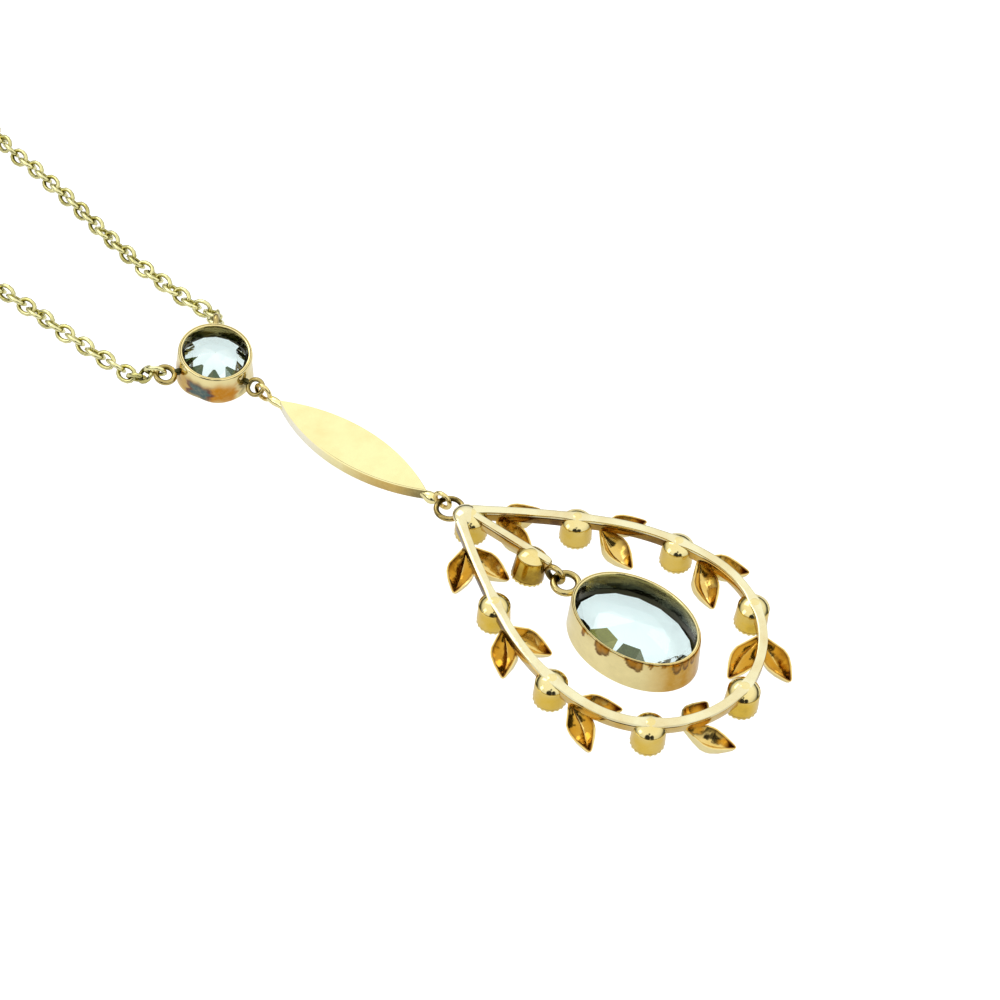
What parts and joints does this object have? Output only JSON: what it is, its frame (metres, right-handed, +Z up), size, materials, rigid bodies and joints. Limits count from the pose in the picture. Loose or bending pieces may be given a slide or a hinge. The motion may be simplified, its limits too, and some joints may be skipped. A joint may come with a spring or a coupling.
{
  "type": "lavaliere necklace",
  "caption": "Gold lavaliere necklace with an open leaf and pearl drop round a hanging oval aquamarine, a pointed bar and a round collet on a fine cable chain.",
  "frame": {"origin": "on the surface that the necklace lies on, under the middle of its bounding box", "axes": "+Y from the drop toward the clasp, +Z up from the surface toward the backs of the settings, +X to the right"},
  "size_m": [0.099, 0.2132, 0.0038],
  "materials": {
    "yellow_gold": "polished, matt and tarnished in the corners",
    "chain_gold": "polished, darker between the links",
    "pearl": "pearly lustre",
    "aquamarine": "faceted and polished"
  },
  "bodies": {
    "root": {"wreath": "yellow_gold", "pearl_tip": "pearl", "pearl_bar": "pearl", "pearl_foot": "pearl", "pearl_right_1": "pearl", "pearl_right_2": "pearl", "pearl_right_3": "pearl", "pearl_left_1": "pearl", "pearl_left_2": "pearl", "pearl_left_3": "pearl", "navette": "yellow_gold", "navette_pearls": "pearl", "round_collet": "yellow_gold", "round_aquamarine": "aquamarine", "oval_collet": "yellow_gold", "oval_aquamarine": "aquamarine", "chain_right": "chain_gold", "chain_left": "chain_gold", "clasp": "yellow_gold"}
  },
  "joints": []
}
